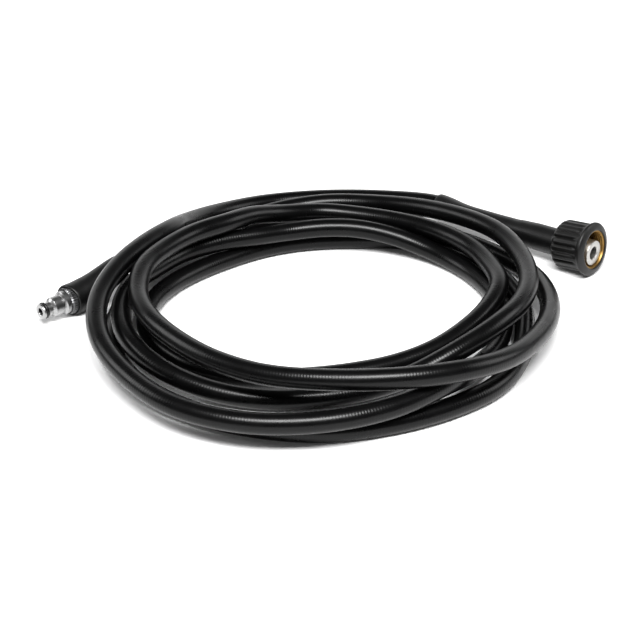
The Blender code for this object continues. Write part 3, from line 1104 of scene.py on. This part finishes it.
@dataclass
class GunFitting:
    """The plug nipple with its seal, the locking ring and the short sleeve.

    Heights of the nipple and the locking ring count from the sleeve's mouth, outwards.
    """

    fine_edge: float = 0.0001
    edge: float = 0.0002
    corner: float = 0.0003

    line_spacing: float = 0.001
    sleeve_steps: int = 24
    sleeve_sides: int = 48
    tail_rounding: float = 0.0008
    mouth_rounding: float = 0.0010
    mouth_width: float = 0.0006
    taper_share: float = 0.7
    scoop: float = 0.0030
    scoop_reach: float = 0.0070
    scoop_steepness: float = 1.6

    teeth: int = 36
    steps_a_tooth: int = 4
    tooth_depth: float = 0.00028
    tooth_reach: float = 0.0060
    tooth_band: float = 0.0010
    ferrule_corners: tuple[Ring, ...] = (
        (0.0005, 0.0004),
        (0.0001, 0.0),
        (0.0, -0.0006),
        (0.0, -0.0045),
    )
    ferrule_front: float = 0.0011

    nipple_sides: int = 64
    bore_radius: float = 0.0021
    nose_radius: float = 0.0045
    nose_rounding: Ring = (0.0008, 0.0007)
    seat_radius: float = 0.00315
    seat_front: float = GunEnd.REACH - 0.0014
    seat_back: float = GunEnd.REACH - 0.0036
    neck_radius: float = 0.0040
    neck_front: float = GunEnd.REACH - 0.0043
    neck_back: float = 0.0119
    barrel_radius: float = 0.0056
    barrel_front: float = 0.0107
    barrel_back: float = 0.0058
    groove_radius: float = 0.0050
    groove_front: float = 0.0052
    groove_back: float = 0.0045
    collar_radius: float = 0.0068
    collar_front: float = 0.0036
    collar_back: float = 0.0009
    collar_band: float = 0.0005
    flat_across: float = 0.0060
    flat_lift: float = math.radians(15.0)
    flat_ends: Ring = (0.0008, 0.0041)

    seal_radius: float = 0.0041
    seal_thickness: float = 0.0016
    seal_place: float = GunEnd.REACH - 0.0025
    seal_sides: int = 56
    seal_steps: int = 16

    def sleeve(self) -> bpy.types.Object:
        """The short moulded sleeve that leans over the coil."""
        covered = [station for station in GunEnd.ROUTE if station[0] <= GunEnd.SLEEVE_LENGTH]
        knots = [gun_point(behind, height) for behind, height in covered]
        knots += [gun_point(GunEnd.SLEEVE_STRAIGHT, GunEnd.AXIS_HEIGHT), self.mouth()]
        path = Path(smooth_line(knots, self.line_spacing))
        length = path.stations[-1]
        socket_floor = length - GunEnd.SOCKET_DEPTH
        tail, mouth = GunEnd.TAIL_OD / 2, GunEnd.SLEEVE_OD / 2
        bore, socket = HOSE_OD / 2 + GAP, GunEnd.FERRULE_OD / 2 + GAP / 2
        edge, corner, rounding = self.edge, self.corner, self.tail_rounding
        rings: list[Ring] = [(bore, 0.0), (tail - rounding, 0.0), (tail - edge, edge), (tail, rounding)]
        for step in range(1, self.sleeve_steps):
            share = step / self.sleeve_steps
            radius = tail + (mouth - tail) * min(1.0, share / self.taper_share)
            rings.append((radius, rounding + (length - rounding - self.mouth_rounding) * share))
        rings += [
            (mouth, length - self.mouth_rounding),
            (mouth - edge, length - corner),
            (mouth - self.mouth_width, length),
            (socket + edge, length),
            (socket, length - corner),
            (socket, socket_floor),
            (bore, socket_floor),
        ]
        for step in range(1, self.sleeve_steps):
            rings.append((bore, socket_floor * (1.0 - step / self.sleeve_steps)))
        piece = turned("gun_end_bend_sleeve", rings, self.sleeve_sides)
        self._scoop_mouth(piece, length)
        lay_on_path(piece, path)
        shade(piece, sharp_above=50.0)
        return piece

    def _scoop_mouth(self, piece: bpy.types.Object, length: float) -> None:
        """Draws the mouth's rim back on the coil's side, so that the serrated ring shows there.

        Args:
            piece: the sleeve, standing at the origin.
            length: the height of its mouth.
        """
        for vertex in piece.data.vertices:
            share = max(0.0, 1.0 - (length - vertex.co.z) / self.scoop_reach)
            facing = 0.5 - 0.5 * vertex.co.x / reach_of(vertex)
            vertex.co.z -= self.scoop * share * facing**self.scoop_steepness
        piece.data.update()

    def mouth(self) -> Vector:
        """The middle of the sleeve's mouth."""
        return gun_point(0.0, GunEnd.AXIS_HEIGHT)

    def ferrule(self) -> bpy.types.Object:
        """The serrated locking ring in the mouth."""
        outer, inner = GunEnd.FERRULE_OD / 2, GunEnd.FERRULE_ID / 2
        back = -GunEnd.SOCKET_DEPTH + GAP
        front = self.ferrule_front
        rings: list[Ring] = [(inner, front - self.fine_edge), (inner + self.edge, front)]
        rings += [(outer - inside, height) for inside, height in self.ferrule_corners]
        rings += [(outer, back), (inner, back), (inner, -2.0 * self.edge)]
        piece = turned("serrated_ferrule", rings, self.teeth * self.steps_a_tooth)
        for vertex in piece.data.vertices:
            if reach_of(vertex) < outer - self.tooth_band or vertex.co.z < -self.tooth_reach:
                continue
            turn = turns_of(vertex) * self.teeth
            offset = abs(turn - round(turn)) * 2.0
            push_out(vertex, -self.tooth_depth * (1.0 - offset))
        set_on_axis(piece, self.mouth(), GUN_AXIS)
        shade(piece, sharp_above=25.0)
        return piece

    def nipple(self) -> bpy.types.Object:
        """The bright plug nipple with nose, neck, barrel and collar."""
        tip, tail = GunEnd.REACH, -GunEnd.SOCKET_DEPTH + GAP
        bore, nose, seat, neck = self.bore_radius, self.nose_radius, self.seat_radius, self.neck_radius
        barrel, groove, collar = self.barrel_radius, self.groove_radius, self.collar_radius
        edge, corner, fine = self.edge, self.corner, self.fine_edge
        inside, behind = self.nose_rounding
        rings: list[Ring] = [
            (bore + corner, tip),
            (nose - inside, tip),
            (nose - edge, tip - edge),
            (nose, tip - behind),
            (nose, self.seat_front + fine),
            (nose - fine, self.seat_front),
            (seat, self.seat_front),
            (seat, self.seat_back),
            (nose - fine, self.seat_back),
            (nose, self.seat_back - fine),
            (nose - fine, self.seat_back - corner),
            (neck, self.neck_front),
            (neck, self.neck_back + edge),
            (neck + edge, self.neck_back),
            (barrel - edge, self.barrel_front + corner),
            (barrel, self.barrel_front),
            (barrel, self.barrel_back),
            (barrel - edge, self.barrel_back - corner),
            (groove, self.groove_front),
            (groove, self.groove_back),
            (groove + edge, self.groove_back - edge),
            (collar - 2.0 * edge, self.collar_front + 2.0 * edge),
            (collar, self.collar_front),
            (collar, self.collar_back),
            (collar - edge, self.collar_back - corner),
            (collar - edge, edge),
            (collar, edge - corner),
            (collar, tail),
            (bore, tail),
            (bore, tip - 2.0 * edge),
        ]
        piece = turned("gun_plug_nipple", rings, self.nipple_sides)
        self._cut_flat(piece)
        set_on_axis(piece, self.mouth(), GUN_AXIS)
        shade(piece, sharp_above=32.0)
        return piece

    def _cut_flat(self, piece: bpy.types.Object) -> None:
        """Presses a flat into the collar on the side away from the coil.

        Args:
            piece: the nipple, standing at the origin.
        """
        low, high = self.flat_ends
        band = self.collar_radius - self.collar_band
        level = Vector((-GUN_AXIS.y, GUN_AXIS.x, 0.0)) * -math.cos(self.flat_lift)
        facing = level + Vector((0.0, 0.0, math.sin(self.flat_lift)))
        facing = axis_matrix(self.mouth(), GUN_AXIS).to_3x3().inverted() @ facing
        for vertex in piece.data.vertices:
            if not low < vertex.co.z < high or reach_of(vertex) < band:
                continue
            outside = vertex.co.x * facing.x + vertex.co.y * facing.y - self.flat_across
            if outside > 0.0:
                vertex.co.x -= facing.x * outside
                vertex.co.y -= facing.y * outside
        piece.data.update()

    def seal(self) -> bpy.types.Object:
        """The rubber ring in the nipple's seat."""
        deselect_all()
        bpy.ops.mesh.primitive_torus_add(
            major_segments=self.seal_sides,
            minor_segments=self.seal_steps,
            major_radius=self.seal_radius,
            minor_radius=self.seal_thickness / 2,
            location=(0.0, 0.0, self.seal_place),
        )
        piece = bpy.context.object
        piece.name = "nipple_seal"
        piece.data.name = "nipple_seal"
        bpy.ops.object.transform_apply(location=True, rotation=True, scale=True)
        bpy.ops.object.mode_set(mode="EDIT")
        bpy.ops.mesh.select_all(action="SELECT")
        bpy.ops.mesh.normals_make_consistent(inside=False)
        bpy.ops.object.mode_set(mode="OBJECT")
        set_on_axis(piece, self.mouth(), GUN_AXIS)
        shade(piece, sharp_above=60.0)
        return piece


# Studio


@dataclass(frozen=True)
class Softbox:
    """One soft light: where it hangs, what it faces, its width and height in metres and its watts."""

    name: str
    place: tuple[float, float, float]
    size: tuple[float, float]
    power: float
    target: tuple[float, float, float] = (0.0, 0.0, 0.0)

    def hang(self) -> None:
        """Puts the light into the scene."""
        data = bpy.data.lights.new(self.name, "AREA")
        data.shape = "RECTANGLE"
        data.size, data.size_y = self.size
        data.energy = self.power
        holder = bpy.data.objects.new(self.name, data)
        bpy.context.scene.collection.objects.link(holder)
        holder.location = self.place
        facing = Vector(self.target) - Vector(self.place)
        holder.rotation_euler = facing.to_track_quat("-Z", "Y").to_euler()


SOFTBOXES = (
    Softbox("key_softbox", (0.0, -0.70, 1.10), (1.0, 0.40), 27.0),
    Softbox("left_softbox", (-1.3, 0.2, 0.7), (0.7, 0.7), 6.0),
    Softbox("right_softbox", (1.3, 0.2, 0.7), (0.7, 0.7), 5.0),
    Softbox("back_softbox", (0.0, 1.45, 0.50), (3.2, 0.8), 10.0, target=(0.0, 0.2, 0.1)),
)


@dataclass(frozen=True)
class Studio:
    """The floor, the lights and the camera."""

    elevation: float = math.radians(28.5)
    distance: float = 0.97
    sensor_mm: float = 36.0
    focal_pixels: float = 1680.0
    frame_pixels: float = 640.0
    centre_u: float = 323.0
    centre_v: float = 313.0
    nearest: float = 0.05
    furthest: float = 50.0
    floor_width: float = 12.0
    surroundings: float = 0.09

    def camera(self) -> None:
        """Sets the camera where the photograph was taken from."""
        data = bpy.data.cameras.new("studio_camera")
        data.sensor_width = self.sensor_mm
        data.lens = self.focal_pixels / self.frame_pixels * self.sensor_mm
        data.shift_x = (self.frame_pixels / 2 - self.centre_u) / self.frame_pixels
        data.shift_y = (self.centre_v - self.frame_pixels / 2) / self.frame_pixels
        data.clip_start = self.nearest
        data.clip_end = self.furthest
        holder = bpy.data.objects.new("studio_camera", data)
        bpy.context.scene.collection.objects.link(holder)
        back = self.distance * math.cos(self.elevation)
        holder.location = (COIL_X, COIL_Y - back, self.distance * math.sin(self.elevation))
        holder.rotation_euler = (math.pi / 2 - self.elevation, 0.0, 0.0)
        bpy.context.scene.camera = holder

    def floor(self) -> None:
        """Lays the pale floor."""
        deselect_all()
        bpy.ops.mesh.primitive_plane_add(size=self.floor_width, location=(0.0, 0.0, 0.0))
        sheet = bpy.context.object
        sheet.name = "studio_floor"
        sheet.data.materials.append(PaleFloor().material())

    def lights(self) -> None:
        """Hangs the softboxes and sets the pale surroundings."""
        for softbox in SOFTBOXES:
            softbox.hang()
        world = bpy.data.worlds.new("studio_surroundings")
        world.use_nodes = True
        background = world.node_tree.nodes["Background"]
        background.inputs["Color"].default_value = (1.0, 1.0, 1.0, 1.0)
        background.inputs["Strength"].default_value = self.surroundings
        bpy.context.scene.world = world
        view = bpy.context.scene.view_settings
        view.view_transform = "Standard"
        view.look = "Medium High Contrast"


# Finishes of the fittings
SLEEVE_RUBBER = MouldedBlack(
    name="sleeve_rubber_satin",
    dark=(0.0022, 0.0022, 0.0023),
    pale=(0.0050, 0.0050, 0.0052),
    roughness=0.42,
)
GUN_SLEEVE_RUBBER = replace(SLEEVE_RUBBER, name="gun_sleeve_rubber_satin")
NUT_PLASTIC = MouldedBlack(
    name="nut_plastic_satin",
    dark=(0.0030, 0.0029, 0.0028),
    pale=(0.0068, 0.0065, 0.0062),
    roughness=0.44,
)
SEAL_RUBBER = MouldedBlack(
    name="seal_rubber_smooth",
    dark=(0.006, 0.006, 0.006),
    pale=(0.010, 0.010, 0.010),
    roughness=0.35,
)
THREAD_BRASS = TurnedMetal(
    name="thread_brass_machined",
    dark=(0.24, 0.15, 0.052),
    pale=(0.40, 0.26, 0.10),
    roughness=0.46,
)
PLUG_NICKEL = TurnedMetal(
    name="plug_nickel_plated",
    dark=(0.38, 0.375, 0.36),
    pale=(0.54, 0.53, 0.51),
    roughness=0.42,
)
NIPPLE_CHROME = TurnedMetal(
    name="nipple_chrome_bright",
    dark=(0.24, 0.24, 0.24),
    pale=(0.54, 0.54, 0.54),
    roughness=0.34,
)
FERRULE_STEEL = TurnedMetal(
    name="ferrule_steel_dark",
    dark=(0.10, 0.10, 0.102),
    pale=(0.22, 0.22, 0.224),
    roughness=0.40,
)


def main() -> None:
    """Builds the camera, the hose, the fittings and the studio in order."""
    logging.basicConfig(level=logging.INFO)
    studio = Studio()
    studio.camera()
    route = Route()
    line, nut = Body.HOSE_LINE, Body.NUT

    hose = Hose(route)
    tube = hose.build()
    dress(tube, HoseRubber().material(), "hose_rubber", line, "hose")

    pump = PumpFitting(route)
    dress(pump.sleeve(), SLEEVE_RUBBER.material(), "sleeve_rubber", line, "pump_end_sleeve")
    dress(pump.nut(), NUT_PLASTIC.material(), "nut_plastic", nut, "swivel_nut")
    dress(pump.thread(), THREAD_BRASS.material(), "thread_brass", nut, "nut_thread_insert")
    dress(pump.plug(), PLUG_NICKEL.material(), "nipple_nickel", line, "pump_end_nipple")

    gun = GunFitting()
    sleeve, ferrule, nipple, seal = gun.sleeve(), gun.ferrule(), gun.nipple(), gun.seal()
    dress(sleeve, GUN_SLEEVE_RUBBER.material(), "gun_sleeve_rubber", line, "gun_end_sleeve")
    dress(ferrule, FERRULE_STEEL.material(), "ferrule_steel", line, "gun_end_ferrule")
    dress(nipple, NIPPLE_CHROME.material(), "nipple_chrome", line, "gun_end_nipple")
    dress(seal, SEAL_RUBBER.material(), "seal_rubber", line, "nipple_seal_ring")
    hose.declare()

    studio.floor()
    studio.lights()


if __name__ == "__main__":
    main()
